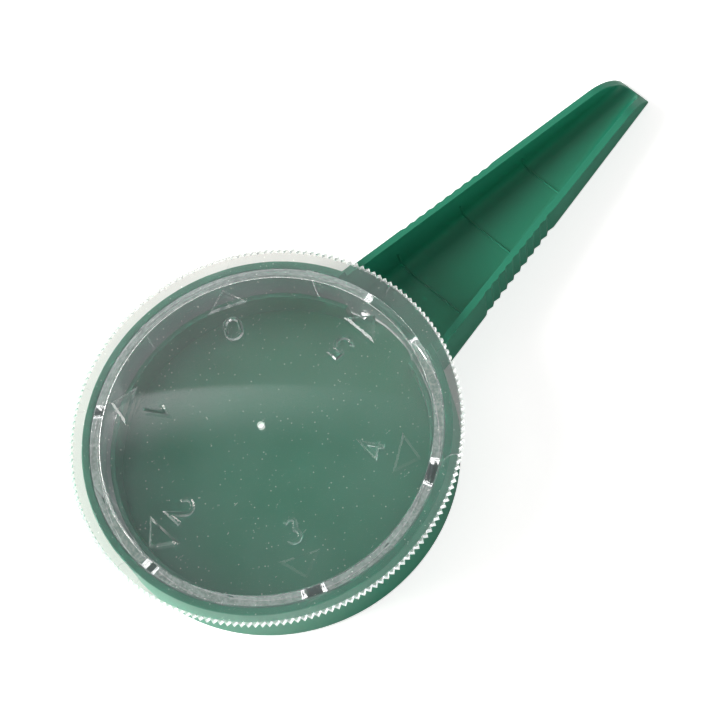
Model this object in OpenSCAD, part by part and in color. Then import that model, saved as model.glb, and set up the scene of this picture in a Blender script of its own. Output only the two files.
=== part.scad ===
// Dial seed sower: a round seed cup with a tapering open channel, closed by
// a clear dial whose skirt carries five seed gates of growing width.
// Millimetres, +Z up. The dial axis is Z, the channel runs along +X and the
// underside stands on z = 0.

/* [Dial] */
// Diameter over the tips of the grip teeth
dial_d = 70; // [68:0.5:76]
// Number of grip teeth round the edge
tooth_count = 180; // [90:2:200]
// Depth of one grip tooth
tooth_depth = 0.65; // [0.3:0.05:1]
// Thickness of the flange that rests on the rim
flange_t = 1.5; // [1:0.1:2.5]
// Thickness of the domed window
window_t = 1.4; // [1:0.1:2.2]
// Rise of the window above the flange
dome_rise = 2.8; // [1:0.1:5]
// Thickness of the skirt that turns inside the cup
skirt_t = 1.6; // [1:0.1:2.2]
// Diameter of the moulding stub at the middle of the window
stub_d = 1.3; // [0.8:0.1:3]
// Height of the moulding stub
stub_h = 0.25; // [0.1:0.05:0.6]

/* [Seed gates] */
// Width of the gate of setting 1
gate_1_w = 2.4; // [1.5:0.1:4]
// Width of the gate of setting 2
gate_2_w = 3; // [2:0.1:5]
// Width of the gate of setting 3
gate_3_w = 4.8; // [3:0.1:6]
// Width of the gate of setting 4
gate_4_w = 5.4; // [3:0.1:7]
// Width of the gate of setting 5
gate_5_w = 12.4; // [8:0.2:14]
// Height of the gates above the skirt's lower edge
gate_h = 4.6; // [3.2:0.1:5.4]
// Radius of the gates' upper corners
gate_corner = 1.6; // [0.5:0.1:1.6]

/* [Numbers and arrows] */
// Height of the raised marks
mark_h = 0.35; // [0.2:0.05:0.6]
// Radius at which the numbers are centred
number_r = 19.8; // [16:0.1:20.4]
// Height of a number
number_h = 4.9; // [3:0.1:5.2]
// Width of a number
number_w = 3.5; // [2:0.1:3.8]
// Width of a number's stroke
stroke_w = 0.8; // [0.5:0.05:1]
// Radius of the arrow's point
arrow_tip_r = 28.5; // [27.5:0.1:29]
// Length of an arrow
arrow_l = 4.3; // [2.5:0.1:4.5]
// Width of an arrow's base
arrow_w = 7.6; // [4:0.1:9]

/* [Cup] */
// Outer diameter of the rim
cup_d = 65.8; // [65:0.2:67]
// Height of the rim above the table
cup_h = 13.1; // [12:0.1:16]
// Thickness of the cup wall at the rim
cup_wall = 1.4; // [1:0.1:2]
// Thickness of the floor of cup and channel
floor_t = 1.5; // [1:0.1:2.5]
// Draft of the cup's outside, in degrees
cup_draft = 1; // [0:0.25:2]
// Radius of the cup's lower outer edge
foot_round = 0.8; // [0.2:0.1:1.2]
// Height of the inner fence above the floor
fence_h = 5.8; // [4:0.1:7]
// Thickness of the inner fence
fence_t = 1; // [0.7:0.1:1.5]
// Width of the gap in the fence in front of the channel
fence_gap_w = 16.4; // [12:0.2:18]

/* [Channel] */
// Distance from the dial axis to the end of the channel
reach = 95.5; // [85:0.5:120]
// Outer width of the channel's underside at the cup wall
root_w = 21.5; // [19:0.5:24]
// Outer width of the channel's underside at its end
tip_w = 6.6; // [6:0.2:9]
// Height of the side walls at the cup wall
root_h = 11; // [9:0.1:12]
// Height to which the side walls' tops aim at the channel's end
tip_h = 4.8; // [3.5:0.1:7]
// Thickness of the side walls
side_t = 1.3; // [1:0.1:1.8]
// Lean of the side walls, in degrees
side_draft = 5; // [2:0.5:8]
// Radius with which the side walls' tops come down at the end
tip_round = 9; // [5:0.5:11]
// Height of the blunt edge at the channel's end
lip_h = 0.6; // [0.4:0.1:1.2]
// Radius of the corner between side wall and floor
corner_r = 2.2; // [1:0.1:3]

/* [Channel lines and grips] */
// Number of low cross lines in the channel
line_count = 3; // [1:1:5]
// Place of the first cross line, from the dial axis
line_x = 41.5; // [38:0.5:45]
// Distance between cross lines
line_pitch = 14.6; // [8:0.2:15]
// Width of a cross line
line_w = 0.45; // [0.3:0.05:1]
// Height of a cross line
line_h = 0.2; // [0.1:0.05:0.5]
// Number of grip notches on each side
grip_count = 10; // [4:1:16]
// Distance between grip notches
grip_pitch = 2.08; // [1.6:0.02:2.6]
// Depth of a grip notch at its foot
grip_depth = 0.42; // [0.3:0.02:0.6]
// Place of the first grip notch, from the dial axis
grip_x = 44.6; // [42:0.2:50]

/* [Fits] */
// Gap between flange and rim
seat_gap = 0.1; // [0.05:0.05:0.3]
// Radial gap between skirt and cup wall
skirt_gap = 0.25; // [0.2:0.05:0.5]
// Radial gap between skirt and inner fence
fence_gap = 0.35; // [0.2:0.05:0.6]
// Gap between the skirt's lower edge and the floor
foot_gap = 0.5; // [0.3:0.05:1]
// Radial gap between the skirt's centring ribs and cup wall
rib_gap = 0.08; // [0.02:0.01:0.1]
// Width of a centring rib
rib_w = 1.2; // [0.6:0.1:2]

/* [Hidden] */
$fn = 96;
settings = 6;
step = 360 / settings;
far = 200;
bite = 0.3;
cup_r = cup_d / 2;
bore_r = cup_r - cup_wall;
foot_r = cup_r - cup_h * tan(cup_draft);
skirt_r = bore_r - skirt_gap;
skirt_in_r = skirt_r - skirt_t;
fence_r = skirt_in_r - fence_gap;
flange_z = cup_h + seat_gap;
flange_top = flange_z + flange_t;
skirt_z = floor_t + foot_gap;
dome_r = (pow(skirt_in_r, 2) + pow(dome_rise, 2)) / (2 * dome_rise);
dome_z = flange_top + dome_rise - dome_r;
gate_w = [0, gate_1_w, gate_2_w, gate_3_w, gate_4_w, gate_5_w];
// Setting 5 faces the channel at rest; the numbers rise anticlockwise.
function setting_angle(n) = step * (n + 1);
// Moulding pins press shallow round marks into the flange's underside.
pin_mark_r = 2.3;
pin_mark_depth = 0.1;
pin_mark_at = dial_d / 2 - 0.8;
// A fine bead rings the window on the flange.
bead_r = 0.16;
// Channel: walls are planes through straight foot lines.
root_x = cup_r;
taper = atan((root_w - tip_w) / 2 / (reach - root_x));
top_fall = (root_h - tip_h) / (reach - root_x);
function wall_top(x) = root_h - top_fall * (x - root_x);
// The end's circle touches the walls' top line and runs down to the lip: its
// centre lies on a line below the walls' tops, at the circle's radius from the
// lip's edge.
tip_level = root_h + top_fall * root_x - tip_round * sqrt(1 + pow(top_fall, 2));
tip_a = 1 + pow(top_fall, 2);
tip_b = top_fall * (lip_h - tip_level) - reach;
tip_c = pow(reach, 2) + pow(lip_h - tip_level, 2) - pow(tip_round, 2);
tip_x = (-tip_b - sqrt(pow(tip_b, 2) - tip_a * tip_c)) / tip_a;
tip_z = tip_level - top_fall * tip_x;
// Each grip notch is a short step in and a long way out, shallower upwards.
grip_steep = 0.38;
grip_lean = 0.9;

// ---- body -------------------------------------------------------------

// One channel side's own frame: x along the wall's foot, y outwards.
module at_side(half_w) {
    translate([root_x, half_w, 0]) rotate([0, 0, -taper])
        rotate([-side_draft, 0, 0]) children();
}

// Space between two leaning side planes whose feet are half_w off the middle.
module between_sides(half_w) {
    intersection_for (side = [0, 1])
        mirror([0, side, 0]) at_side(half_w)
            translate([-far, -far, -far]) cube([2 * far, far, 2 * far]);
}

// Side view of the channel: sloping top, rounded end, blunt lip.
module channel_profile() {
    intersection() {
        polygon([[bore_r - bite, 0], [reach, 0],
                 [reach, wall_top(reach)], [bore_r - bite, wall_top(bore_r - bite)]]);
        union() {
            square([tip_x, cup_h]);
            intersection() {
                translate([tip_x, tip_z]) circle(tip_round, $fn = 180);
                square([reach, cup_h]);
            }
        }
    }
    translate([bore_r - bite, 0]) square([reach - bore_r + bite, lip_h]);
}

module channel_block() {
    intersection() {
        rotate([90, 0, 0]) translate([0, 0, -root_w])
            linear_extrude(2 * root_w) channel_profile();
        between_sides(root_w / 2);
    }
}

// Rounded corner between floor and side wall, as a strip along the wall.
module corner_strip(half_w, foot_z) {
    translate([root_x, half_w, foot_z]) rotate([0, 0, -taper])
        mirror([0, 1, 0]) rotate([90, 0, 90]) translate([0, 0, -far / 4])
            linear_extrude(far) difference() {
                translate([-bite, -bite]) square(corner_r + bite);
                translate([corner_r, corner_r]) circle(corner_r);
            }
}

// Open space of the channel; inset draws it in evenly.
module channel_space(inset = 0) {
    half_w = root_w / 2 - side_t - inset;
    foot_z = floor_t + inset;
    difference() {
        intersection() {
            between_sides(half_w);
            translate([fence_r / 2, -far / 2, foot_z]) cube(far);
        }
        corner_strip(half_w, foot_z);
        mirror([0, 1, 0]) corner_strip(half_w, foot_z);
    }
}

module cross_lines() {
    for (i = [0 : line_count - 1])
        difference() {
            intersection() {
                channel_block();
                translate([line_x + i * line_pitch - line_w / 2, -far / 2, 0])
                    cube([line_w, far, wall_top(line_x + i * line_pitch) - line_h]);
            }
            channel_space(line_h);
        }
}

module grip_notches() {
    for (side = [0, 1], i = [0 : grip_count - 1])
        mirror([0, side, 0]) at_side(root_w / 2)
            translate([(grip_x - root_x) / cos(taper) + i * grip_pitch, 0, 0])
                rotate([-grip_lean, 0, 0]) translate([0, 0, -cup_h]) linear_extrude(3 * cup_h)
                    polygon([[0, 0], [grip_steep * grip_pitch, -grip_depth],
                             [grip_pitch, 0], [grip_pitch, 1], [0, 1]]);
}

module cup_shell() {
    rotate_extrude() difference() {
        union() {
            square([foot_r - foot_round, floor_t]);
            translate([foot_r - foot_round, foot_round]) circle(foot_round);
            polygon([[0, foot_round], [foot_r, foot_round], [cup_r, cup_h], [0, cup_h]]);
        }
        translate([-1, floor_t]) square([bore_r + 1, cup_h]);
    }
}

// Low ring inside the skirt, open in front of the channel.
module fence() {
    difference() {
        translate([0, 0, floor_t - bite]) cylinder(r = fence_r, h = fence_h + bite);
        translate([0, 0, floor_t - 1]) cylinder(r = fence_r - fence_t, h = fence_h + 2);
        translate([0, -fence_gap_w / 2, floor_t]) cube([far, fence_gap_w, cup_h]);
    }
}

module body() {
    color("#1f7a56") {
        difference() {
            union() {
                cup_shell();
                difference() {
                    channel_block();
                    cylinder(r = bore_r, h = 3 * cup_h, center = true);
                }
            }
            channel_space();
            grip_notches();
        }
        fence();
        cross_lines();
    }
}

// ---- dial -------------------------------------------------------------

module toothed_disc() {
    linear_extrude(flange_t)
        polygon([for (i = [0 : 2 * tooth_count - 1])
            let (a = 180 * i / tooth_count, r = dial_d / 2 - (i % 2) * tooth_depth)
            [r * cos(a), r * sin(a)]]);
}

module dome(r) {
    translate([0, 0, dome_z]) sphere(r, $fn = 180);
}

// A gate seen from outside: square foot, rounded upper corners.
module gate_outline(w) {
    corner = min(gate_corner, w / 2);
    translate([-w / 2, -bite]) square([w, gate_h - corner + bite]);
    translate([corner - w / 2, 0]) square([w - 2 * corner + 0.001, gate_h]);
    for (side = [-1, 1])
        translate([side * (w / 2 - corner), gate_h - corner]) circle(corner, $fn = 48);
}

module gates() {
    for (n = [1 : settings - 1])
        rotate([0, 0, setting_angle(n)]) translate([0, 0, skirt_z])
            rotate([90, 0, 90]) linear_extrude(far) gate_outline(gate_w[n]);
}

module centring_ribs() {
    for (n = [0 : settings - 1])
        rotate([0, 0, step * (n + 0.5)])
            intersection() {
                translate([skirt_in_r + skirt_t / 2, -rib_w / 2, skirt_z])
                    cube([skirt_t, rib_w, flange_z - skirt_z + bite]);
                cylinder(r = bore_r - rib_gap, h = far);
            }
}

module skirt() {
    difference() {
        union() {
            translate([0, 0, skirt_z]) cylinder(r = skirt_r, h = flange_z - skirt_z + bite);
            centring_ribs();
        }
        translate([0, 0, skirt_z - 1]) cylinder(r = skirt_in_r, h = far);
        gates();
    }
}

module window() {
    intersection() {
        difference() {
            dome(dome_r);
            dome(dome_r - window_t);
        }
        translate([0, 0, flange_z - 1]) cylinder(r = skirt_in_r + bite, h = far);
    }
}

module pin_marks() {
    for (n = [0 : settings - 1])
        rotate([0, 0, step * n]) translate([pin_mark_at, 0, flange_z - 1])
            cylinder(r = pin_mark_r, h = 1 + pin_mark_depth);
}

module window_bead() {
    rotate_extrude() translate([skirt_in_r, flange_top]) circle(bead_r, $fn = 16);
}

// A straight stroke with round ends from a to b.
module stroke(a, b) {
    run = b - a;
    translate(a) circle(d = stroke_w, $fn = 24);
    translate(b) circle(d = stroke_w, $fn = 24);
    translate(a) rotate(atan2(run[1], run[0]))
        translate([0, -stroke_w / 2]) square([norm(run), stroke_w]);
}

// Part of a ring about c, from angle a0 anticlockwise to a1 (under 360).
module arc_stroke(c, r, a0, a1) {
    reach_out = 4 * r;
    steps = ceil((a1 - a0) / 60);
    translate(c) intersection() {
        difference() {
            circle(r + stroke_w / 2, $fn = 48);
            circle(r - stroke_w / 2, $fn = 48);
        }
        polygon([[0, 0], for (i = [0 : steps])
            let (a = a0 + (a1 - a0) * i / steps) reach_out * [cos(a), sin(a)]]);
    }
    for (a = [a0, a1])
        translate(c + r * [cos(a), sin(a)]) circle(d = stroke_w, $fn = 24);
}

// The number shapes, centred, upright along +Y.
x1 = (number_w - stroke_w) / 2;
y1 = (number_h - stroke_w) / 2;
low_r = y1 * 0.54;
high_r = y1 * 0.46;
module number(n) {
    if (n == 0) {
        arc_stroke([0, y1 - x1], x1, 0, 180);
        arc_stroke([0, x1 - y1], x1, 180, 360);
        stroke([-x1, x1 - y1], [-x1, y1 - x1]);
        stroke([x1, x1 - y1], [x1, y1 - x1]);
    }
    if (n == 1) {
        stroke([x1 / 3, -y1], [x1 / 3, y1]);
        stroke([-x1 * 0.6, y1 * 0.5], [x1 / 3, y1]);
    }
    if (n == 2) {
        arc_stroke([0, y1 - x1], x1, -35, 170);
        stroke([x1 * cos(-35), y1 - x1 + x1 * sin(-35)], [-x1, -y1]);
        stroke([-x1, -y1], [x1, -y1]);
    }
    if (n == 3) {
        arc_stroke([0, low_r - y1], low_r, -160, 90);
        arc_stroke([0, y1 - high_r], high_r, -90, 160);
    }
    if (n == 4) {
        stroke([x1 * 0.4, -y1], [x1 * 0.4, y1]);
        stroke([x1 * 0.4, y1], [-x1, -y1 * 0.4]);
        stroke([-x1, -y1 * 0.4], [x1, -y1 * 0.4]);
    }
    if (n == 5) {
        bowl = x1 * 1.05;
        arc_stroke([x1 - bowl, bowl - y1], bowl, -150, 130);
        stroke([x1 - bowl + bowl * cos(130), bowl - y1 + bowl * sin(130)], [-x1 * 0.7, y1]);
        stroke([-x1 * 0.7, y1], [x1 * 0.8, y1]);
    }
}

module arrow() {
    polygon([[arrow_tip_r, 0], [arrow_tip_r - arrow_l, arrow_w / 2],
             [arrow_tip_r - arrow_l, -arrow_w / 2]]);
}

// Numbers read from outside, with their heads towards the dial's middle.
module marks() {
    intersection() {
        linear_extrude(far) for (n = [0 : settings - 1])
            rotate(setting_angle(n)) {
                arrow();
                translate([number_r, 0]) rotate(90) number(n);
            }
        difference() {
            dome(dome_r + mark_h);
            dome(dome_r - bite);
        }
    }
}

module dial() {
    color([0.86, 0.93, 0.9, 0.45]) {
        difference() {
            translate([0, 0, flange_z]) toothed_disc();
            translate([0, 0, flange_z - 1]) cylinder(r = skirt_in_r, h = flange_t + 2);
            pin_marks();
        }
        window();
        window_bead();
        skirt();
        marks();
        translate([0, 0, flange_top + dome_rise - bite]) cylinder(d = stub_d, h = stub_h + bite);
    }
}

body();
dial();
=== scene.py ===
"""Dial seed sower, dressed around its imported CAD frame.

Laid out as a Blender add-on and run as a script. The frame's two bodies are
the green moulding with cup and channel, and the clear dial that turns in it.
"""

import math

import bmesh
import bpy
from bpy.props import FloatProperty, FloatVectorProperty, IntProperty, PointerProperty
from bpy.types import Operator, Panel, PropertyGroup
from mathutils import Matrix, Vector


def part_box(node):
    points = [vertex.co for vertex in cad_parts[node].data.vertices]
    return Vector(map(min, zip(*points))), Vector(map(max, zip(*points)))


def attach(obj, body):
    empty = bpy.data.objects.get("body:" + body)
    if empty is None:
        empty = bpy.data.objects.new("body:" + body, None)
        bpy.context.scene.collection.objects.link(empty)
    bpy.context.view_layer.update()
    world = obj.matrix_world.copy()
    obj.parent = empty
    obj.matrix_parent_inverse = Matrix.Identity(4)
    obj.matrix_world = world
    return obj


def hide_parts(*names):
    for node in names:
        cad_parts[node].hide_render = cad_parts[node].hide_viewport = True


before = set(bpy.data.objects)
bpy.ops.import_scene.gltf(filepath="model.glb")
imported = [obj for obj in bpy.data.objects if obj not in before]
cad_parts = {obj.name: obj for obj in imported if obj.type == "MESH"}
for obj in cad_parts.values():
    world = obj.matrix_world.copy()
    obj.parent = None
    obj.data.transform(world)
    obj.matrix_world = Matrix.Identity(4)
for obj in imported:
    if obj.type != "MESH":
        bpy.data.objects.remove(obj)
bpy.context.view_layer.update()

bl_info = {
    "name": "Dial Seed Sower",
    "version": (1, 0, 0),
    "blender": (4, 5, 0),
    "location": "View3D > Sidebar > Seed Sower",
    "description": "Builds a hand seed sower with a clear toothed dial",
    "category": "Add Mesh",
}

MM = 0.001
BODY_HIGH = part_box("body")[1]
DIAL_LOW, DIAL_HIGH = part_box("dial")

# How far a mark, a wall or a low ridge reaches into what it is joined to.
MARK_SINK = 0.25 * MM
WALL_SINK = 0.3 * MM
RIDGE_SINK = 0.4 * MM
# How far a cutter reaches past what it cuts.
OVERCUT = 1.0 * MM


# ---- sizes and colours ---------------------------------------------------

def length(name, text, millimetres):
    return FloatProperty(name=name, description=text, default=millimetres * MM,
                         min=0.0, precision=5, unit="LENGTH")


def angle(name, text, degrees):
    return FloatProperty(name=name, description=text, default=math.radians(degrees),
                         subtype="ANGLE", unit="ROTATION")


def count(name, text, number):
    return IntProperty(name=name, description=text, default=number, min=1)


def colour(name, text, red, green, blue):
    return FloatVectorProperty(name=name, description=text, subtype="COLOR", size=3,
                               min=0.0, max=1.0, default=(red, green, blue))


class SowerBodySizes(PropertyGroup):
    """Sizes of the green moulding."""
    cup_d: length("Cup diameter", "Outer diameter of the cup's rim", 65.8)
    cup_h: length("Cup height", "Height of the rim above the table", 13.1)
    cup_wall: length("Cup wall", "Thickness of the cup wall at the rim", 1.4)
    floor_t: length("Floor", "Thickness of the floor of cup and channel", 1.5)
    cup_draft: angle("Cup draft", "Lean of the cup's outside", 1.0)
    foot_round: length("Foot rounding", "Radius of the cup's lower outer edge", 0.8)
    edge_round: length("Edge rounding", "Radius of the moulding's free edges", 0.25)
    fence_h: length("Fence height", "Height of the inner fence above the floor", 5.8)
    fence_t: length("Fence thickness", "Thickness of the inner fence", 1.0)
    fence_r: length("Fence radius", "Outer radius of the inner fence", 29.3)
    fence_gap_w: length("Fence gap", "Width of the gap in front of the channel", 16.4)
    reach: length("Reach", "From the dial's axis to the channel's end", BODY_HIGH[0] / MM)
    root_w: length("Root width", "Width of the channel's underside at the cup", 21.5)
    tip_w: length("Tip width", "Width of the channel's underside at its end", 6.6)
    root_h: length("Root height", "Height of the side walls at the cup", 11.0)
    tip_h: length("Tip height", "Height that the side walls aim at", 4.8)
    side_t: length("Side wall", "Thickness of the side walls", 1.3)
    side_draft: angle("Side draft", "Lean of the side walls", 5.0)
    tip_round: length("Tip rounding", "Radius of the walls' tops at the end", 9.0)
    lip_h: length("Lip", "Height of the blunt edge at the end", 0.6)
    corner_r: length("Corner", "Radius between side wall and floor", 2.2)
    line_count: count("Cross lines", "Low cross lines in the channel", 3)
    line_x: length("First line", "Place of the first cross line", 41.5)
    line_pitch: length("Line pitch", "Distance between cross lines", 14.6)
    line_w: length("Line width", "Width of a cross line", 0.45)
    line_h: length("Line height", "Height of a cross line", 0.2)
    grip_count: count("Grip notches", "Grip notches on each side", 10)
    grip_x: length("First notch", "Place of the first grip notch", 44.6)
    grip_pitch: length("Notch pitch", "Distance between grip notches", 2.08)
    grip_depth: length("Notch depth", "Depth of a grip notch at its foot", 0.42)
    grip_fade: FloatProperty(name="Notch fade", default=0.65, min=0.0, max=1.0,
                             description="Share of the depth at the wall's top")
    green: colour("Green", "Colour of the green plastic", 0.024, 0.262, 0.158)


class SowerDialSizes(PropertyGroup):
    """Sizes of the clear moulding."""
    dial_d: length("Dial diameter", "Over the tips of the teeth",
                   (DIAL_HIGH[0] - DIAL_LOW[0]) / MM)
    tooth_count: count("Teeth", "Number of grip teeth", 180)
    tooth_depth: length("Tooth depth", "Depth of one tooth", 0.65)
    flange_z: length("Flange height", "Underside of the flange", 13.2)
    flange_t: length("Flange", "Thickness of the flange", 1.5)
    window_t: length("Window", "Thickness of the domed window", 1.4)
    dome_rise: length("Dome rise", "Rise of the window above the flange", 2.8)
    bead_r: length("Bead", "Radius of the fine ring round the window", 0.16)
    skirt_r: length("Skirt radius", "Outer radius of the skirt", 31.25)
    skirt_t: length("Skirt", "Thickness of the skirt", 1.6)
    skirt_z: length("Skirt foot", "Height of the skirt's lower edge", DIAL_LOW[2] / MM)
    edge_round: length("Edge rounding", "Radius of the dial's edges", 0.15)
    gate_h: length("Gate height", "Height of the seed gates", 4.6)
    gate_corner: length("Gate corner", "Radius of the gates' upper corners", 1.6)
    rib_w: length("Rib width", "Width of a centring rib", 1.2)
    rib_gap: length("Rib gap", "Gap between rib and cup wall", 0.08)
    mark_h: length("Mark height", "Height of numbers and arrows", 0.35)
    mark_slope: length("Number slope", "Width of the numbers' sloping sides", 0.28)
    arrow_slope: length("Arrow slope", "Width of the arrows' sloping sides", 0.5)
    number_r: length("Number radius", "Where the numbers are centred", 19.8)
    number_h: length("Number height", "Height of a number", 4.9)
    number_w: length("Number width", "Width of a number", 3.5)
    stroke_w: length("Stroke", "Width of a number's stroke", 0.8)
    arrow_tip_r: length("Arrow radius", "Radius of the arrows' points", 28.5)
    arrow_l: length("Arrow length", "Length of an arrow", 4.3)
    arrow_w: length("Arrow width", "Width of an arrow's base", 7.6)
    stub_d: length("Stub", "Diameter of the moulding stub", 1.3)
    stub_h: length("Stub height", "Height of the moulding stub", 0.25)
    pin_mark_r: length("Pin mark", "Radius of a moulding pin's mark", 2.3)
    pin_mark_depth: length("Pin mark depth", "Depth of a moulding pin's mark", 0.1)
    tint: colour("Tint", "Colour of the clear plastic", 0.975, 0.965, 0.95)


class SowerStage(PropertyGroup):
    """Floor, light and camera."""
    floor_size: length("Floor", "Side of the floor", 6000.0)
    floor_colour: colour("Floor colour", "Colour of the floor", 0.74, 0.73, 0.72)
    camera_at: FloatVectorProperty(name="Camera place", description="Place of the camera",
                                   subtype="TRANSLATION", unit="LENGTH", size=3,
                                   default=(-0.05423, -0.16247, 0.40035))
    camera_turn: FloatVectorProperty(name="Camera turn", size=3, subtype="EULER",
                                     description="Turn of the camera",
                                     unit="ROTATION", default=(0.39734, 0.16070, -0.80417))
    focal: FloatProperty(name="Focal length", description="In millimetres of film",
                         default=121.5, min=10.0)


GATE_WIDTHS = (0.0, 2.4, 3.0, 4.8, 5.4, 12.4)
SETTINGS = len(GATE_WIDTHS)
STEP = 2.0 * math.pi / SETTINGS


def setting_angle(number):
    """Setting 5 faces the channel; the numbers rise anticlockwise."""
    return STEP * (number + 1)


# ---- mesh helpers -----------------------------------------------------------

def arc(centre, radius, start, end, steps):
    """Points (a, b) on an arc, angles in degrees, both ends included."""
    turns = [math.radians(start + (end - start) * i / steps) for i in range(steps + 1)]
    return [(centre[0] + radius * math.cos(t), centre[1] + radius * math.sin(t))
            for t in turns]


def wire(bm, points, closed=False):
    """A chain of edges through 3-D points."""
    verts = [bm.verts.new(p) for p in points]
    pairs = list(zip(verts, verts[1:]))
    if closed:
        pairs.append((verts[-1], verts[0]))
    return verts, [bm.edges.new(p) for p in pairs]


def turned(profile, steps, start=0.0, end=2.0 * math.pi):
    """A bmesh spun about Z from a closed (radius, height) profile."""
    bm = bmesh.new()
    full = abs(end - start - 2.0 * math.pi) < 1e-6
    on_axis = [p for p in profile if abs(p[0]) < 1e-9]
    points = [(p[0] * math.cos(start), p[0] * math.sin(start), p[1]) for p in profile]
    verts, edges = wire(bm, points, closed=not on_axis)
    geom = verts + edges
    if not full:
        geom.append(bm.faces.new(verts))
    bmesh.ops.spin(bm, geom=geom, cent=(0, 0, 0), axis=(0, 0, 1), dvec=(0, 0, 0),
                   angle=end - start, steps=steps, use_merge=full)
    bmesh.ops.remove_doubles(bm, verts=bm.verts, dist=1e-7)
    bmesh.ops.recalc_face_normals(bm, faces=bm.faces)
    return bm


def sharp_edges(bm, degrees):
    """Edges between two faces that meet at more than this angle."""
    limit = math.radians(degrees)
    return [e for e in bm.edges if e.is_manifold and e.calc_face_angle(0.0) > limit]


def rounded(bm, edges, radius, segments=2):
    """Bevels edges, with one segment as a plain slope."""
    bmesh.ops.bevel(bm, geom=list(edges), offset=radius, offset_type="OFFSET",
                    segments=segments, profile=0.5, affect="EDGES",
                    clamp_overlap=True, material=-1)


def block(low, high):
    """A bmesh box between two corners."""
    bm = bmesh.new()
    middle = [(a + b) / 2 for a, b in zip(low, high)]
    extent = [b - a for a, b in zip(low, high)]
    bmesh.ops.create_cube(bm, size=1.0, matrix=Matrix.Translation(middle)
                          @ Matrix.Diagonal((*extent, 1.0)))
    return bm


def turn_about_axis(bm, radians):
    """Turns a whole bmesh about the dial's axis."""
    bmesh.ops.rotate(bm, cent=(0, 0, 0), matrix=Matrix.Rotation(radians, 3, "Z"),
                     verts=bm.verts)


def gathered(meshes):
    """One bmesh that holds several, which are freed."""
    whole = bmesh.new()
    for bm in meshes:
        part = bpy.data.meshes.new("part")
        bm.to_mesh(part)
        bm.free()
        whole.from_mesh(part)
        bpy.data.meshes.remove(part)
    return whole


def as_object(bm, name):
    """A new object that holds the bmesh, which is freed."""
    mesh = bpy.data.meshes.new(name)
    bm.to_mesh(mesh)
    bm.free()
    piece = bpy.data.objects.new(name, mesh)
    bpy.context.scene.collection.objects.link(piece)
    return piece


def settle(piece):
    """Replaces the piece's mesh by what its modifiers make of it."""
    bpy.context.view_layer.update()
    seen = piece.evaluated_get(bpy.context.evaluated_depsgraph_get())
    mesh = bpy.data.meshes.new_from_object(seen)
    old = piece.data
    piece.modifiers.clear()
    piece.data = mesh
    bpy.data.meshes.remove(old)
    mesh.name = piece.name


def combine(piece, bm, operation, crossing=False):
    """Joins (UNION) or cuts (DIFFERENCE) a closed bmesh; crossing if it cuts itself."""
    other = as_object(bm, "tool")
    boolean = piece.modifiers.new("combine", "BOOLEAN")
    boolean.operation = operation
    boolean.solver = "EXACT"
    boolean.use_self = crossing
    boolean.object = other
    settle(piece)
    bpy.data.meshes.remove(other.data)


def finish_mesh(piece, smooth_degrees, finish):
    """Cleans the mesh, shades it smooth between sharp edges, and paints it."""
    bm = bmesh.new()
    bm.from_mesh(piece.data)
    bmesh.ops.remove_doubles(bm, verts=bm.verts, dist=2e-7)
    bmesh.ops.dissolve_degenerate(bm, edges=bm.edges, dist=1e-7)
    bm.to_mesh(piece.data)
    bm.free()
    piece.data.shade_smooth()
    piece.data.set_sharp_from_angle(angle=math.radians(smooth_degrees))
    weighted = piece.modifiers.new("flat faces stay flat", "WEIGHTED_NORMAL")
    weighted.keep_sharp = True
    weighted.weight = 80
    piece.data.materials.clear()
    piece.data.materials.append(finish)


# ---- materials ---------------------------------------------------------------

def wire_up(tree, links):
    """Links (output, input) pairs of sockets."""
    for source, target in links:
        tree.links.new(source, target)


def new_node(tree, kind, **values):
    """A node with settings; in_Some_Name sets the input called Some Name."""
    node = tree.nodes.new(kind)
    for name, value in values.items():
        if name.startswith("in_"):
            key = name[3:].replace("_", " ")
            node.inputs[key].default_value = value
        else:
            setattr(node, name, value)
    return node


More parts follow.
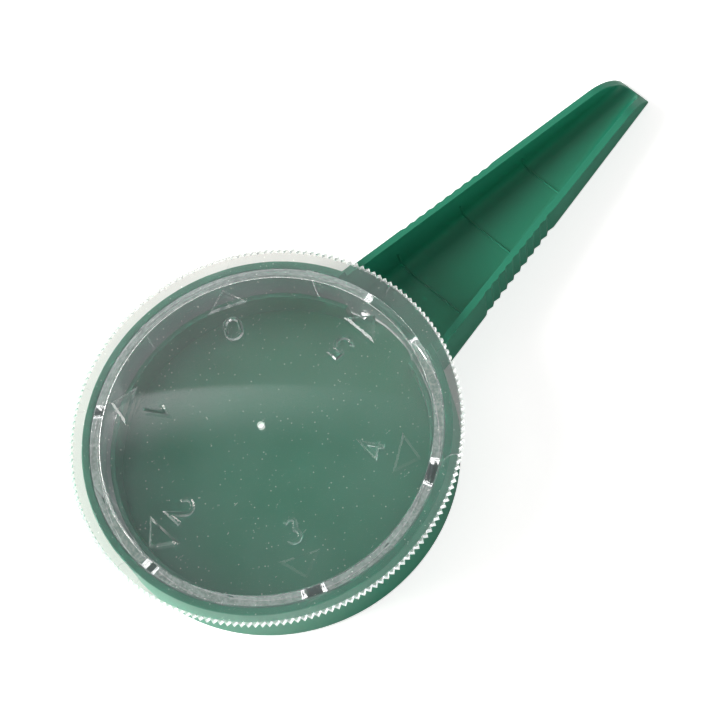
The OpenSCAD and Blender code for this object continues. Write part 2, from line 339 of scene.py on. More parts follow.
def marks_group():
    """Masks on Object coordinates: two sets of scratches, specks of dust, a soft cloud."""
    name = "scratches and dust"
    if name in bpy.data.node_groups:
        return bpy.data.node_groups[name]
    tree = bpy.data.node_groups.new(name, "ShaderNodeTree")
    for socket, side in (("Scratch Size", "INPUT"), ("Dust Size", "INPUT"),
                         ("Scratches", "OUTPUT"), ("Dust", "OUTPUT"), ("Cloud", "OUTPUT")):
        tree.interface.new_socket(name=socket, in_out=side, socket_type="NodeSocketFloat")
    start = tree.nodes.new("NodeGroupInput")
    end = tree.nodes.new("NodeGroupOutput")
    place = tree.nodes.new("ShaderNodeTexCoord")
    scratches = None
    for turn, stretch in ((0.5, 14.0), (2.1, 18.0)):
        spread = new_node(tree, "ShaderNodeMapping")
        spread.inputs["Rotation"].default_value = (0.0, 0.0, turn)
        spread.inputs["Scale"].default_value = (1.0, stretch, 1.0)
        noise = new_node(tree, "ShaderNodeTexNoise", in_Detail=1.0, in_Distortion=0.6)
        ramp = new_node(tree, "ShaderNodeMapRange", interpolation_type="SMOOTHSTEP",
                        in_From_Min=0.78, in_From_Max=0.84)
        wire_up(tree, [(place.outputs["Object"], spread.inputs["Vector"]),
                       (spread.outputs["Vector"], noise.inputs["Vector"]),
                       (start.outputs["Scratch Size"], noise.inputs["Scale"]),
                       (noise.outputs["Fac"], ramp.inputs["Value"])])
        if scratches is None:
            scratches = ramp.outputs["Result"]
        else:
            most = new_node(tree, "ShaderNodeMath", operation="MAXIMUM")
            wire_up(tree, [(scratches, most.inputs[0]),
                           (ramp.outputs["Result"], most.inputs[1])])
            scratches = most.outputs[0]
    squat = new_node(tree, "ShaderNodeVectorMath", operation="MULTIPLY")
    squat.inputs[1].default_value = (1.0, 1.0, 0.3)
    specks = new_node(tree, "ShaderNodeTexVoronoi", in_Randomness=1.0)
    pick = new_node(tree, "ShaderNodeSeparateColor")
    few = new_node(tree, "ShaderNodeMath", operation="GREATER_THAN")
    few.inputs[1].default_value = 0.68
    small = new_node(tree, "ShaderNodeMapRange", interpolation_type="SMOOTHSTEP",
                     in_From_Min=0.15, in_From_Max=0.05)
    both = new_node(tree, "ShaderNodeMath", operation="MULTIPLY")
    cloud = new_node(tree, "ShaderNodeTexNoise", in_Scale=60.0, in_Detail=3.0)
    wire_up(tree, [(place.outputs["Object"], squat.inputs[0]),
                   (squat.outputs["Vector"], specks.inputs["Vector"]),
                   (start.outputs["Dust Size"], specks.inputs["Scale"]),
                   (specks.outputs["Color"], pick.inputs["Color"]),
                   (pick.outputs["Red"], few.inputs[0]),
                   (specks.outputs["Distance"], small.inputs["Value"]),
                   (few.outputs[0], both.inputs[0]),
                   (small.outputs["Result"], both.inputs[1]),
                   (place.outputs["Object"], cloud.inputs["Vector"]),
                   (scratches, end.inputs["Scratches"]),
                   (both.outputs[0], end.inputs["Dust"]),
                   (cloud.outputs["Fac"], end.inputs["Cloud"])])
    return tree


def finish_material(name):
    """A fresh material: (material, its tree, its Principled shader)."""
    material = bpy.data.materials.new(name)
    material.use_nodes = True
    shader = material.node_tree.nodes["Principled BSDF"]
    return material, material.node_tree, shader


def wear_node(tree, scratch_size, dust_size):
    """The scratches-and-dust group, placed with its own sizes."""
    node = new_node(tree, "ShaderNodeGroup", node_tree=marks_group())
    node.inputs["Scratch Size"].default_value = scratch_size
    node.inputs["Dust Size"].default_value = dust_size
    return node


def green_plastic(green):
    """Glossy green moulded plastic with a faint swirl and fine scratches."""
    material, tree, shader = finish_material("green plastic")
    wear = wear_node(tree, scratch_size=900.0, dust_size=700.0)
    shade = new_node(tree, "ShaderNodeMix", data_type="RGBA")
    shade.inputs["A"].default_value = (*[c * 0.93 for c in green], 1.0)
    shade.inputs["B"].default_value = (*[c * 1.07 for c in green], 1.0)
    scuffed = new_node(tree, "ShaderNodeMix", data_type="RGBA")
    scuffed.inputs["B"].default_value = (*[c * 0.8 + 0.06 for c in green], 1.0)
    rough = new_node(tree, "ShaderNodeMapRange", in_To_Min=0.30, in_To_Max=0.48)
    grain = new_node(tree, "ShaderNodeTexNoise", in_Scale=1500.0, in_Detail=2.0)
    place = tree.nodes.new("ShaderNodeTexCoord")
    bump = new_node(tree, "ShaderNodeBump", in_Strength=0.08, in_Distance=0.0001)
    wire_up(tree, [(wear.outputs["Cloud"], shade.inputs["Factor"]),
                   (shade.outputs["Result"], scuffed.inputs["A"]),
                   (wear.outputs["Scratches"], scuffed.inputs["Factor"]),
                   (scuffed.outputs["Result"], shader.inputs["Base Color"]),
                   (wear.outputs["Scratches"], rough.inputs["Value"]),
                   (rough.outputs["Result"], shader.inputs["Roughness"]),
                   (place.outputs["Object"], grain.inputs["Vector"]),
                   (grain.outputs["Fac"], bump.inputs["Height"]),
                   (bump.outputs["Normal"], shader.inputs["Normal"])])
    shader.inputs["IOR"].default_value = 1.49
    return material


def clear_plastic(tint, teeth_r, stub_r, foot_z):
    """Clear moulded plastic: lightly scratched and dusty, with painted glow.

    A faint painted glow lies over it all as haze; the teeth carry painted glints,
    the stub and the skirt's foot a painted glow, and the dust specks a painted white glow. The
    teeth and the scratches are rough.
    """
    material, tree, shader = finish_material("clear plastic")
    shader.inputs["Base Color"].default_value = (*tint, 1.0)
    shader.inputs["Transmission Weight"].default_value = 1.0
    shader.inputs["IOR"].default_value = 1.52
    # The emission colour set below carries painted glow and painted glints.
    shader.inputs["Emission Strength"].default_value = 1.0
    wear = wear_node(tree, scratch_size=700.0, dust_size=1000.0)
    place = tree.nodes.new("ShaderNodeTexCoord")
    height = tree.nodes.new("ShaderNodeSeparateXYZ")
    flat = new_node(tree, "ShaderNodeVectorMath", operation="MULTIPLY")
    flat.inputs[1].default_value = (1.0, 1.0, 0.0)
    radius = new_node(tree, "ShaderNodeVectorMath", operation="LENGTH")
    wire_up(tree, [(place.outputs["Object"], flat.inputs[0]),
                   (place.outputs["Object"], height.inputs["Vector"]),
                   (flat.outputs["Vector"], radius.inputs[0])])

    tooth_fade, foot_high, foot_low = 0.15 * MM, 0.2 * MM, 0.05 * MM

    def mask(value, none_at, full_at):
        span = new_node(tree, "ShaderNodeMapRange", in_From_Min=none_at, in_From_Max=full_at)
        tree.links.new(value, span.inputs["Value"])
        return span.outputs["Result"]

    def over(below, factor, above):
        mix = new_node(tree, "ShaderNodeMix", data_type="RGBA")
        for key, tone in (("A", below), ("B", above)):
            if isinstance(tone, tuple):
                mix.inputs[key].default_value = (*tone, 1.0)
            else:
                tree.links.new(tone, mix.inputs[key])
        tree.links.new(factor, mix.inputs["Factor"])
        return mix.outputs["Result"]

    # Noise that makes the painted glow on the skirt's foot grainy.
    grain = new_node(tree, "ShaderNodeTexNoise", in_Scale=2200.0, in_Detail=2.0)
    tree.links.new(place.outputs["Object"], grain.inputs["Vector"])
    teeth = mask(radius.outputs["Value"], teeth_r, teeth_r + tooth_fade)
    stub = mask(radius.outputs["Value"], stub_r, 0.8 * stub_r)
    foot = mask(height.outputs["Z"], foot_z + foot_high, foot_z + foot_low)
    rough = new_node(tree, "ShaderNodeMapRange", in_To_Min=0.03, in_To_Max=0.4)
    marked = new_node(tree, "ShaderNodeMath", operation="MAXIMUM")
    # Emission colours: painted glow and painted glints that no lamp lights.
    faint_painted_glow, strong_painted_glow = (0.010, 0.011, 0.012), (0.038, 0.040, 0.043)
    dim_painted_foot_glow, bright_painted_foot_glow = (0.10, 0.10, 0.10), (0.27, 0.27, 0.27)
    painted_tooth_glint, painted_stub_glow = (0.17, 0.17, 0.165), (0.50, 0.50, 0.48)
    dust_painted_glow = (0.42, 0.42, 0.40)
    # A faint painted glow over all the clear plastic, stronger where the cloud mask is high.
    glow = over(faint_painted_glow, wear.outputs["Cloud"], strong_painted_glow)
    # Painted glints: the teeth glow whitish.
    glow = over(glow, teeth, painted_tooth_glint)
    # Painted glow: the moulding stub glows white.
    glow = over(glow, stub, painted_stub_glow)
    # Painted glow on the skirt's foot, standing for light carried down the skirt.
    painted_foot_glow = over(dim_painted_foot_glow, mask(grain.outputs["Fac"], 0.35, 0.65), bright_painted_foot_glow)
    glow = over(glow, foot, painted_foot_glow)
    # Real dust specks, drawn as a painted white glow.
    glow = over(glow, wear.outputs["Dust"], dust_painted_glow)
    wire_up(tree, [(teeth, marked.inputs[0]),
                   (wear.outputs["Scratches"], marked.inputs[1]),
                   (marked.outputs[0], rough.inputs["Value"]),
                   (rough.outputs["Result"], shader.inputs["Roughness"]),
                   (glow, shader.inputs["Emission Color"])])
    return material


def pale_floor(shade):
    """A pale matt floor that the camera sees as white around the shadow."""
    material, tree, shader = finish_material("pale floor")
    shader.inputs["Base Color"].default_value = (*shade, 1.0)
    shader.inputs["Roughness"].default_value = 0.9
    shader.inputs["Emission Strength"].default_value = 0.74
    path = tree.nodes.new("ShaderNodeLightPath")
    share_through_dial = 0.05
    seen = new_node(tree, "ShaderNodeMath", operation="MULTIPLY_ADD", use_clamp=True)
    seen.inputs[1].default_value = share_through_dial
    wire_up(tree, [(path.outputs["Is Transmission Ray"], seen.inputs[0]),
                   (path.outputs["Is Camera Ray"], seen.inputs[2]),
                   (seen.outputs[0], shader.inputs["Emission Color"])])
    return material


# ---- the green moulding --------------------------------------------------------

class Channel:
    """The channel's section at any distance x from the dial's axis."""
    STEEP_SHARE = 0.38  # of a grip notch's pitch, taken by its steep side
    ROOT_LAP = 2.75 * MM  # how far the channel reaches into the cup's rim
    END_STEPS = 16  # sections along the rounded end
    PLAIN_X = (37.0, 66.5, 70.0, 76.0, 82.0)  # sections off the notches, in mm
    FLOOR_EDGE = 0.2 * MM  # from the floor's last point to the corner's arc
    LEAST_WALL = 0.1 * MM  # a wall lower than this ends in a small slope
    END_SLOPE = 0.05 * MM

    def __init__(self, sizes):
        self.s = sizes
        self.root_x = sizes.cup_d / 2
        run = sizes.reach - self.root_x
        self.narrowing = (sizes.root_w - sizes.tip_w) / 2 / run
        self.fall = (sizes.root_h - sizes.tip_h) / run
        self.lean = math.tan(sizes.side_draft)
        # The end's circle touches the walls' top line and passes through the lip.
        radius, fall = sizes.tip_round, self.fall
        level = sizes.root_h + fall * self.root_x - radius * math.hypot(1.0, fall)
        a = 1.0 + fall ** 2
        b = fall * (sizes.lip_h - level) - sizes.reach
        c = sizes.reach ** 2 + (sizes.lip_h - level) ** 2 - radius ** 2
        self.round_x = (-b - math.sqrt(b * b - a * c)) / a
        self.round_z = level - fall * self.round_x

    def line_top(self, x):
        return self.s.root_h - self.fall * (x - self.root_x)

    def top(self, x):
        """Height of the side walls: a falling line, then the rounded end."""
        tangent_x = self.round_x + self.s.tip_round * self.fall / math.hypot(1.0, self.fall)
        if x <= tangent_x:
            return self.line_top(x)
        inside = self.s.tip_round ** 2 - (x - self.round_x) ** 2
        return max(self.s.lip_h, self.round_z + math.sqrt(max(inside, 0.0)))

    def foot(self, x):
        return self.s.root_w / 2 - self.narrowing * (x - self.root_x)

    def notch(self, x):
        """How deep the grip notch is at x: a short step in, a long way out."""
        s = self.s
        turn = (x - s.grip_x) / s.grip_pitch
        if turn <= 0.0 or turn >= s.grip_count:
            return 0.0
        turn %= 1.0
        steep = self.STEEP_SHARE
        return s.grip_depth * (turn / steep if turn < steep else (1.0 - turn) / (1.0 - steep))

    def stations(self):
        """Every x that gets a section: closer at the notches and the end."""
        s = self.s
        first = self.root_x - self.ROOT_LAP
        places = {round(first, 7), round(s.reach, 7)}
        for i in range(s.grip_count + 1):
            places.add(round(s.grip_x + i * s.grip_pitch, 7))
            if i < s.grip_count:
                places.add(round(s.grip_x + (i + self.STEEP_SHARE) * s.grip_pitch, 7))
        bend = self.round_x + s.tip_round * self.fall
        for i in range(self.END_STEPS + 1):
            x = bend + (s.reach - bend) * math.sin(math.pi / 2 * i / self.END_STEPS)
            places.add(round(x, 7))
        for x in self.PLAIN_X:
            places.add(round(x * MM, 7))
        return sorted(places)

    def inner(self, x, lift=0.0):
        """Floor middle to the inner top edge, lifted off the surface."""
        s = self.s
        half = self.foot(x) - s.side_t - lift + s.floor_t * self.lean
        floor = s.floor_t + lift
        radius = min(s.corner_r, half * 0.9)
        points = [(0.0, floor), (half - radius - self.FLOOR_EDGE, floor)]
        points += arc((half - radius, floor + radius), radius, -90.0, 0.0, 8)
        top = self.top(x) - lift
        if top > points[-1][1] + self.LEAST_WALL:
            points.append((half + self.lean * (top - floor), top))
        else:
            points.append((points[-1][0] + self.END_SLOPE, points[-1][1] + self.END_SLOPE))
        return points, top

    def half_section(self, x):
        """From the floor's middle over the wall's top to the underside's middle."""
        s = self.s
        inner, top = self.inner(x)
        foot = self.foot(x)
        cut = self.notch(x)
        outer = [(foot - cut * s.grip_fade + self.lean * top, top),
                 (foot - cut, 0.0), (0.0, 0.0)]
        points = inner + outer
        return [(y, min(z, top)) for y, z in points]


def channel_shell(sizes):
    """The open channel as a closed shell, lofted along its stations."""
    shape = Channel(sizes)
    bm = bmesh.new()
    rings = []
    for x in shape.stations():
        half = shape.half_section(x)
        ring = [(x, y, z) for y, z in half] + [(x, -y, z) for y, z in reversed(half[1:-1])]
        rings.append(wire(bm, ring, closed=True))
    for (_, near), (_, far) in zip(rings, rings[1:]):
        bmesh.ops.bridge_loops(bm, edges=near + far)
    for verts, _ in (rings[0], rings[-1]):
        bm.faces.new(verts)
    bmesh.ops.remove_doubles(bm, verts=bm.verts, dist=1e-6)
    bmesh.ops.dissolve_degenerate(bm, edges=bm.edges, dist=1e-6)
    bmesh.ops.recalc_face_normals(bm, faces=bm.faces)
    return bm


def channel_mouth(sizes):
    """What is cut from the cup wall where the channel begins."""
    shape = Channel(sizes)
    bm = bmesh.new()
    loops = []
    clearance = 0.004 * MM
    for x in (0.6 * shape.root_x, shape.root_x + RIDGE_SINK):
        half = shape.inner(x, lift=clearance)[0][:-1]
        last = half[-1]
        rise = 2.0 * sizes.cup_h - last[1]
        half.append((last[0] + shape.lean * rise, last[1] + rise))
        ring = [(x, y, z) for y, z in half] + [(x, -y, z) for y, z in reversed(half[1:])]
        loops.append(wire(bm, ring, closed=True))
    bmesh.ops.bridge_loops(bm, edges=loops[0][1] + loops[1][1])
    for verts, _ in loops:
        bm.faces.new(verts)
    bmesh.ops.recalc_face_normals(bm, faces=bm.faces)
    return bm


def cross_line(sizes, x):
    """A low ridge across the channel's floor, which climbs part of its walls."""
    shape = Channel(sizes)
    bm = bmesh.new()
    loops = []
    half_w = sizes.line_w / 2
    buried = -0.3
    climb = 0.62
    for offset, share in ((-half_w, buried), (-half_w / 3, 1.0),
                          (half_w / 3, 1.0), (half_w, buried)):
        end = x + offset
        over, _ = shape.inner(end, lift=sizes.line_h * share)
        under, _ = shape.inner(end, lift=-RIDGE_SINK)
        limit = climb * shape.top(end)
        over = [(y, min(z, limit)) for y, z in over]
        under = [(y, min(z, limit)) for y, z in under]
        over[-1] = (over[-2][0] + shape.lean * (limit - over[-2][1]), limit)
        under[-1] = (under[-2][0] + shape.lean * (limit - under[-2][1]), limit)
        half = over + under[::-1]
        ring = [(end, y, z) for y, z in half] + [(end, -y, z) for y, z in reversed(half[1:-1])]
        loops.append(wire(bm, ring, closed=True))
    for (_, near), (_, far) in zip(loops, loops[1:]):
        bmesh.ops.bridge_loops(bm, edges=near + far)
    for verts, _ in (loops[0], loops[-1]):
        bm.faces.new(verts)
    bmesh.ops.recalc_face_normals(bm, faces=bm.faces)
    return bm


def cup_shell(sizes):
    """The cup: floor, drafted wall and rounded rim, spun in one piece."""
    s = sizes
    rim_r = s.cup_d / 2
    bore_r = rim_r - s.cup_wall
    foot_r = rim_r - s.cup_h * math.tan(s.cup_draft)
    edge = s.edge_round
    profile = [(0.0, 0.0)]
    profile += arc((foot_r - s.foot_round, s.foot_round), s.foot_round, -90.0, 0.0, 5)
    profile += arc((rim_r - edge, s.cup_h - edge), edge, 0.0, 90.0, 3)
    profile += arc((bore_r + edge, s.cup_h - edge), edge, 90.0, 180.0, 3)
    profile += arc((bore_r - 2 * edge, s.floor_t + 2 * edge), 2 * edge, 0.0, -90.0, 3)
    profile += [(s.fence_r, s.floor_t), (0.0, s.floor_t)]
    return turned(profile, 180)


def fence_ring(sizes):
    """The low inner fence, open in front of the channel."""
    s = sizes
    inner = s.fence_r - s.fence_t
    top = s.floor_t + s.fence_h
    edge = s.edge_round * 0.8
    foot = s.floor_t - WALL_SINK
    profile = [(inner, foot), (s.fence_r, foot)]
    profile += arc((s.fence_r - edge, top - edge), edge, 0.0, 90.0, 3)
    profile += arc((inner + edge, top - edge), edge, 90.0, 180.0, 3)
    gap = math.asin(s.fence_gap_w / 2 / s.fence_r)
    return turned(profile, 164, gap, 2.0 * math.pi - gap)


class SOWER_OT_body(Operator):
    """Builds the green cup with its fence, channel, grips and cross lines"""
    bl_idname = "sower.body"
    bl_label = "Green Body"

    def execute(self, context):
        s = context.scene.sower_body
        piece = as_object(cup_shell(s), "sower_body")
        combine(piece, channel_mouth(s), "DIFFERENCE")
        shell = channel_shell(s)
        cup_reach = s.cup_d / 2 - 2.0 * MM
        edges = [e for e in sharp_edges(shell, 24.0)
                 if all(v.co.x > cup_reach for v in e.verts)]
        rounded(shell, edges, s.edge_round * 0.8, 2)
        combine(piece, shell, "UNION")
        combine(piece, fence_ring(s), "UNION")
        for i in range(s.line_count):
            combine(piece, cross_line(s, s.line_x + i * s.line_pitch), "UNION")
        if not piece.data.polygons:
            raise RuntimeError("the body's shells didn't join")
        finish_mesh(piece, 38.0, green_plastic(s.green))
        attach(piece, "body")
        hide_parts("body")
        return {"FINISHED"}


# ---- the clear moulding ---------------------------------------------------------

def dome_radius(s):
    """Radius of the sphere that the window's outside is cut from."""
    ring_r = s.skirt_r - s.skirt_t
    return (ring_r ** 2 + s.dome_rise ** 2) / (2.0 * s.dome_rise)


def dome_centre(s):
    """Height of that sphere's centre."""
    return s.flange_z + s.flange_t + s.dome_rise - dome_radius(s)


def dome_height(s, x, y):
    """Height of the window's outside over a place on the dial."""
    return dome_centre(s) + math.sqrt(dome_radius(s) ** 2 - x * x - y * y)


def dial_shell(s):
    """Toothed flange, domed window and skirt, spun in one piece."""
    ring_r = s.skirt_r - s.skirt_t
    tip_r = s.dial_d / 2
    top = s.flange_z + s.flange_t
    radius, centre = dome_radius(s), dome_centre(s)
    spread = math.degrees(math.asin(ring_r / radius))
    under = radius - s.window_t
    edge = s.edge_round
    profile = arc((0.0, centre), radius, 90.0, 90.0 - spread, 14)
    bead = s.bead_r
    profile[-1:] = arc((ring_r, top), bead, 100.0, 0.0, 4)
    profile += [(s.skirt_r, top)]
    profile += arc((tip_r - edge, top - edge), edge, 90.0, 0.0, 2)
    profile += arc((tip_r - edge, s.flange_z + edge), edge, 0.0, -90.0, 2)
    profile += arc((s.skirt_r + edge, s.flange_z - edge), edge, 90.0, 180.0, 2)
    profile += arc((s.skirt_r - edge, s.skirt_z + edge), edge, 0.0, -90.0, 2)
    profile += arc((ring_r + edge, s.skirt_z + edge), edge, -90.0, -180.0, 2)
    corner = 0.35 * MM
    inner_spread = math.degrees(math.asin((ring_r - corner) / under))
    corner_z = centre + math.sqrt(under ** 2 - (ring_r - corner) ** 2) - corner
    profile += arc((ring_r - corner, corner_z), corner, 0.0, 80.0, 3)
    profile += arc((0.0, centre), under, 90.0 - inner_spread, 90.0, 14)
    profile[0] = (0.0, profile[0][1])
    profile[-1] = (0.0, profile[-1][1])
    bm = turned(profile, 2 * s.tooth_count)
    toothed_r = tip_r - 0.5 * MM
    valleys = []
    for v in bm.verts:
        if math.hypot(v.co.x, v.co.y) > toothed_r:
            column = round(math.atan2(v.co.y, v.co.x) / (math.pi / s.tooth_count))
            if column % 2:
                valleys.append(v)
    shrink = 1.0 - s.tooth_depth / tip_r
    bmesh.ops.scale(bm, vec=(shrink, shrink, 1.0), verts=valleys)
    return bm


def gate_cutter(s, number):
    """A seed gate: open at the skirt's foot, its upper corners rounded."""
    width = GATE_WIDTHS[number] * MM
    inner_r = s.skirt_r - 3.0 * MM
    low, high = s.skirt_z - OVERCUT, s.skirt_z + s.gate_h
    bm = block((inner_r, -width / 2, low), (s.skirt_r + OVERCUT, width / 2, high))
    upper = [e for e in bm.edges
             if all(abs(v.co.z - high) < 1e-7 for v in e.verts)
             and abs(e.verts[0].co.y - e.verts[1].co.y) < 1e-7]
    rounded(bm, upper, min(s.gate_corner, width * 0.499), 6)
    turn_about_axis(bm, setting_angle(number))
    return bm


def number_strokes(s, number):
    """Centre lines of a number, upright along +Y and centred; none turns sharply back."""
    x1 = (s.number_w - s.stroke_w) / 2
    y1 = (s.number_h - s.stroke_w) / 2
    low_r, high_r = y1 * 0.54, y1 * 0.46
    if number == 0:
        return [(arc((0, y1 - x1), x1, 0, 180, 14) + arc((0, x1 - y1), x1, 180, 360, 14), True)]
    if number == 1:
        return [([(x1 / 3, -y1), (x1 / 3, y1), (-x1 * 0.6, y1 * 0.5)], False)]
    if number == 2:
        return [(arc((0, y1 - x1), x1, 170, -35, 16) + [(-x1, -y1), (x1, -y1)], False)]
    if number == 3:
        return [(arc((0, y1 - high_r), high_r, 160, -72, 8), False),
                (arc((0, low_r - y1), low_r, 80, -160, 10), False)]
    if number == 4:
        return [([(x1 * 0.4, -y1), (x1 * 0.4, y1), (-x1, -y1 * 0.4), (x1, -y1 * 0.4)], False)]
    bowl = x1 * 1.05
    curve = arc((x1 - bowl, bowl - y1), bowl, 130, -150, 18)
    return [([(x1 * 0.8, y1), (-x1 * 0.7, y1), curve[0]], False), (curve, False)]


def slope_sides(bm, s):
    """Slopes the sides of a mark by bevelling the rim of its top."""
    rim = [e for e in sharp_edges(bm, 50.0)
           if all(v.co.z > dome_height(s, v.co.x, v.co.y) + s.mark_h / 2 for v in e.verts)]
    rounded(bm, rim, s.mark_slope, 1)


def raised_number(s, number):
    """A number as a wall of the stroke's width that stands on the dome."""
    bm = bmesh.new()
    place = (Matrix.Rotation(setting_angle(number), 4, "Z")
             @ Matrix.Translation((s.number_r, 0.0, 0.0))
             @ Matrix.Rotation(math.pi / 2, 4, "Z"))
    for points, closed in number_strokes(s, number):
        flat = [place @ Vector((x, y, 0.0)) for x, y in points]
        base = [(p.x, p.y, dome_height(s, p.x, p.y) - MARK_SINK) for p in flat]
        _, edges = wire(bm, base, closed)
        grown = bmesh.ops.extrude_edge_only(bm, edges=edges)
        risen = [v for v in grown["geom"] if isinstance(v, bmesh.types.BMVert)]
        bmesh.ops.translate(bm, vec=(0, 0, MARK_SINK + s.mark_h), verts=risen)
    wall = as_object(bm, "number")
    thick = wall.modifiers.new("stroke", "SOLIDIFY")
    thick.thickness = s.stroke_w
    thick.offset = 0.0
    thick.use_even_offset = True
    settle(wall)
    solid = bmesh.new()
    solid.from_mesh(wall.data)
    bpy.data.meshes.remove(wall.data)
    bmesh.ops.recalc_face_normals(solid, faces=solid.faces)
    slope_sides(solid, s)
    return solid


def raised_arrow(s, number):
    """A triangle with sloping sides that points outwards."""
    base_r = s.arrow_tip_r - s.arrow_l
    corners = [(s.arrow_tip_r, 0.0), (base_r, s.arrow_w / 2), (base_r, -s.arrow_w / 2)]
    leg = math.hypot(s.arrow_w / 2, s.arrow_l)
    inradius = s.arrow_w * s.arrow_l / (s.arrow_w + 2.0 * leg)
    middle = base_r + inradius
    bm = bmesh.new()
    loops = []
    for lift in (-MARK_SINK, s.mark_h):
        share = 1.0 - s.arrow_slope * lift / s.mark_h / inradius
        points = [(middle + (x - middle) * share, y * share) for x, y in corners]
        loops.append(wire(bm, [(x, y, dome_height(s, x, y) + lift) for x, y in points],
                          closed=True))
    bmesh.ops.bridge_loops(bm, edges=loops[0][1] + loops[1][1])
    for verts, _ in loops:
        bm.faces.new(verts)
    bmesh.ops.recalc_face_normals(bm, faces=bm.faces)
    turn_about_axis(bm, setting_angle(number))
    return bm


def round_bar(radius, low, high, place=(0.0, 0.0), segments=40):
    """An upright cylinder between two heights."""
    bm = bmesh.new()
    bmesh.ops.create_cone(bm, cap_ends=True, segments=segments, radius1=radius, radius2=radius,
                          depth=high - low,
                          matrix=Matrix.Translation((*place, (low + high) / 2)))
    return bm


class SOWER_OT_dial(Operator):
    """Builds the clear dial with teeth, window, gates, numbers and arrows"""
    bl_idname = "sower.dial"
    bl_label = "Clear Dial"

    def execute(self, context):
        s = context.scene.sower_dial
        body = context.scene.sower_body
        piece = as_object(dial_shell(s), "dial_clear")
        gates = [gate_cutter(s, n) for n in range(1, SETTINGS)]
        combine(piece, gathered(gates), "DIFFERENCE")
        pin_at = s.dial_d / 2 - 0.8 * MM
        pins = []
        for n in range(SETTINGS):
            pin = round_bar(s.pin_mark_r, s.flange_z - OVERCUT,
                            s.flange_z + s.pin_mark_depth, (pin_at, 0.0))
            turn_about_axis(pin, STEP * n)
            pins.append(pin)
        combine(piece, gathered(pins), "DIFFERENCE")
        rib_r = body.cup_d / 2 - body.cup_wall - s.rib_gap
        rib_foot = 0.3 * MM
        ribs = []
        for n in range(SETTINGS):
            rib = block((s.skirt_r - s.skirt_t / 2, -s.rib_w / 2, s.skirt_z + rib_foot),
                        (rib_r, s.rib_w / 2, s.flange_z + WALL_SINK))
            turn_about_axis(rib, STEP * (n + 0.5))
            ribs.append(rib)
        combine(piece, gathered(ribs), "UNION")
        marks = [raised_number(s, n) for n in range(SETTINGS)]
        marks += [raised_arrow(s, n) for n in range(SETTINGS)]
        crown = dome_height(s, 0.0, 0.0)
        stub = round_bar(s.stub_d / 2, crown - RIDGE_SINK, crown + s.stub_h)
        stub_round = 0.08 * MM
        rounded(stub, [e for e in stub.edges if e.calc_face_angle(0.0) > 1.0], stub_round, 2)
        combine(piece, gathered(marks + [stub]), "UNION", crossing=True)
        if not piece.data.polygons:
            raise RuntimeError("the dial's parts didn't join")
        finish = clear_plastic(s.tint, s.dial_d / 2 - s.tooth_depth, s.stub_d / 2, s.skirt_z)
        finish_mesh(piece, 32.0, finish)
        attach(piece, "dial")
        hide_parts("dial")
        return {"FINISHED"}


# ---- floor, light and camera ------------------------------------------------------

def soft_room():
    """A light tent: bright sides, a strong soft light at the left, a dimmer top."""
    world = bpy.data.worlds.new("soft room")
    world.use_nodes = True
    tree = world.node_tree
    sky = tree.nodes["Background"]
    place = tree.nodes.new("ShaderNodeTexCoord")

    def along(direction, low, high, low_value=0.0, high_value=1.0):
        dot = new_node(tree, "ShaderNodeVectorMath", operation="DOT_PRODUCT")
        dot.inputs[1].default_value = direction
        span = new_node(tree, "ShaderNodeMapRange", interpolation_type="SMOOTHSTEP",
                        in_From_Min=low, in_From_Max=high,
                        in_To_Min=low_value, in_To_Max=high_value)
        wire_up(tree, [(place.outputs["Generated"], dot.inputs[0]),
                       (dot.outputs["Value"], span.inputs["Value"])])
        return span.outputs["Result"]

    def blend(factor, first, second):
        mix = new_node(tree, "ShaderNodeMix", data_type="RGBA")
        for key, value in (("A", first), ("B", second)):
            if isinstance(value, tuple):
                mix.inputs[key].default_value = (*value, 1.0)
            else:
                tree.links.new(value, mix.inputs[key])
        tree.links.new(factor, mix.inputs["Factor"])
        return mix.outputs["Result"]

    up = (0.0, 0.0, 1.0)
    left = (-0.74, 0.67, 0.0)
    lamp_way = (-0.679, 0.611, 0.407)
    band_way = (0.741, 0.543, -0.398)
    band_run = (-0.640, 0.731, -0.196)
    # The band across the window mirrors the lit border of the dim top.
    band = new_node(tree, "ShaderNodeMath", operation="MULTIPLY")
    wire_up(tree, [(along(band_way, -0.11, 0.052), band.inputs[0]),
                   (along(band_run, -0.25, 0.35, 0.25, 1.0), band.inputs[1])])
    top = blend(band.outputs[0], (0.15, 0.15, 0.15), (1.8, 1.8, 1.8))
    top = blend(along(band_way, 0.048, 0.062), top, (0.48, 0.45, 0.42))
    sides = blend(along(left, 0.0, 0.9), (1.15, 1.15, 1.16), (2.2, 2.2, 2.16))
    sides = blend(along(up, 0.12, 0.50), sides, (0.26, 0.25, 0.24))
    room = blend(along(up, 0.62, 0.70), sides, top)
    room = blend(along(lamp_way, 0.91, 0.99), room, (18.0, 17.7, 17.2))
    tree.links.new(room, sky.inputs["Color"])
    sky.inputs["Strength"].default_value = 1.0
    return world


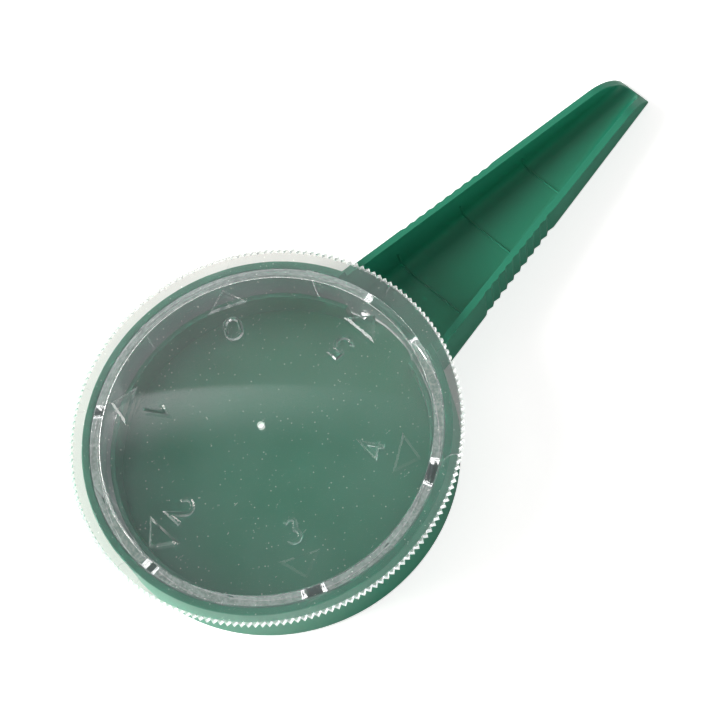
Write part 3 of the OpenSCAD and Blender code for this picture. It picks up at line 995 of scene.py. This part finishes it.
class SOWER_OT_stage(Operator):
    """Builds the floor, the soft lights and the camera"""
    bl_idname = "sower.stage"
    bl_label = "Stage"

    def execute(self, context):
        s = context.scene.sower_stage
        bm = bmesh.new()
        bmesh.ops.create_grid(bm, x_segments=2, y_segments=2, size=s.floor_size / 2)
        floor = as_object(bm, "floor")
        floor.data.materials.append(pale_floor(s.floor_colour))
        context.scene.world = soft_room()
        camera = bpy.data.cameras.new("camera")
        camera.sensor_width = 36.0
        camera.lens = s.focal
        camera.clip_start = 0.01
        camera.dof.use_dof = False
        eye = bpy.data.objects.new("camera", camera)
        eye.location = s.camera_at
        eye.rotation_euler = s.camera_turn
        context.scene.collection.objects.link(eye)
        context.scene.camera = eye
        context.scene.view_settings.view_transform = "Standard"
        paths, bounces = context.scene.cycles, 32
        paths.max_bounces = bounces
        paths.transmission_bounces = bounces
        paths.glossy_bounces = bounces
        paths.transparent_max_bounces = bounces
        return {"FINISHED"}


# ---- sidebar and registration -------------------------------------------------------

class SOWER_PT_panel(Panel):
    """Lists the pieces and their sizes"""
    bl_idname = "SOWER_PT_panel"
    bl_label = "Dial Seed Sower"
    bl_space_type = "VIEW_3D"
    bl_region_type = "UI"
    bl_category = "Seed Sower"

    def draw(self, context):
        scene = context.scene
        for operator, group in ((SOWER_OT_body, scene.sower_body),
                                (SOWER_OT_dial, scene.sower_dial),
                                (SOWER_OT_stage, scene.sower_stage)):
            box = self.layout.box()
            box.operator(operator.bl_idname)
            for name in group.__annotations__:
                box.prop(group, name)


CLASSES = (SowerBodySizes, SowerDialSizes, SowerStage,
           SOWER_OT_body, SOWER_OT_dial, SOWER_OT_stage, SOWER_PT_panel)


def register():
    for cls in CLASSES:
        bpy.utils.register_class(cls)
    bpy.types.Scene.sower_body = PointerProperty(type=SowerBodySizes)
    bpy.types.Scene.sower_dial = PointerProperty(type=SowerDialSizes)
    bpy.types.Scene.sower_stage = PointerProperty(type=SowerStage)


def unregister():
    del bpy.types.Scene.sower_stage
    del bpy.types.Scene.sower_dial
    del bpy.types.Scene.sower_body
    for cls in reversed(CLASSES):
        bpy.utils.unregister_class(cls)


def main():
    register()
    bpy.ops.sower.body()
    bpy.ops.sower.dial()
    bpy.ops.sower.stage()


if __name__ == "__main__":
    main()
